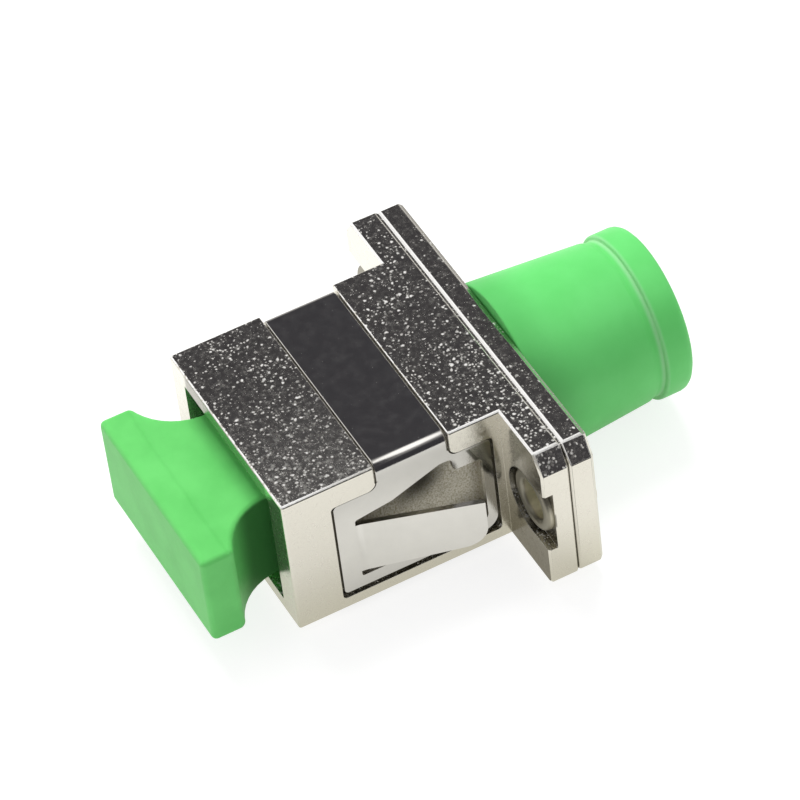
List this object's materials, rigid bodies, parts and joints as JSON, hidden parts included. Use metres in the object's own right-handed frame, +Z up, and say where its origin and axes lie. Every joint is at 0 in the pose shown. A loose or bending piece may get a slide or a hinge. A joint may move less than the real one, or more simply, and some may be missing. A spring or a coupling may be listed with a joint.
{
  "type": "hybrid fibre adapter",
  "caption": "Die-cast fibre adapter joining a square push-pull socket to a round threaded socket, with a riveted screw flange, side spring clip, green dust plug and dust cap.",
  "frame": {"origin": "on the optical axis, in the flange's front face (the face on the side of the square socket)", "axes": "+Y along the optical axis from the square socket's mouth to the threaded socket, +X along the flange's long side, +Z up through the clip's top strip"},
  "size_m": [0.022, 0.0299, 0.0104],
  "materials": {
    "cast_nickel": "bright nickel plate over a die casting, finely pitted on its upper faces",
    "spring_steel": "smooth bright spring sheet",
    "eyelet_metal": "smooth bright nickel plate",
    "insert_plastic": "plain satin moulded plastic",
    "holder_metal": "turned and nickel plated",
    "white_ceramic": "ground white ceramic",
    "green_plastic": "soft satin moulded plastic"
  },
  "bodies": {
    "adapter": {"sc_housing": "cast_nickel", "fc_housing": "cast_nickel", "spring_clip": "spring_steel", "eyelet_left": "eyelet_metal", "eyelet_right": "eyelet_metal", "sc_latch_insert": "insert_plastic", "fc_sleeve_holder": "holder_metal", "alignment_sleeve": "white_ceramic"},
    "plug": {"sc_dust_plug": "green_plastic"},
    "cap": {"fc_dust_cap": "green_plastic"}
  },
  "joints": [
    {"name": "plug_pull", "type": "slide", "parent": "adapter", "child": "plug", "axis": [0, -1, 0], "range_m": [0, 0.012]},
    {"name": "cap_pull", "type": "slide", "parent": "adapter", "child": "cap", "axis": [0, 1, 0], "range_m": [0, 0.011]}
  ]
}
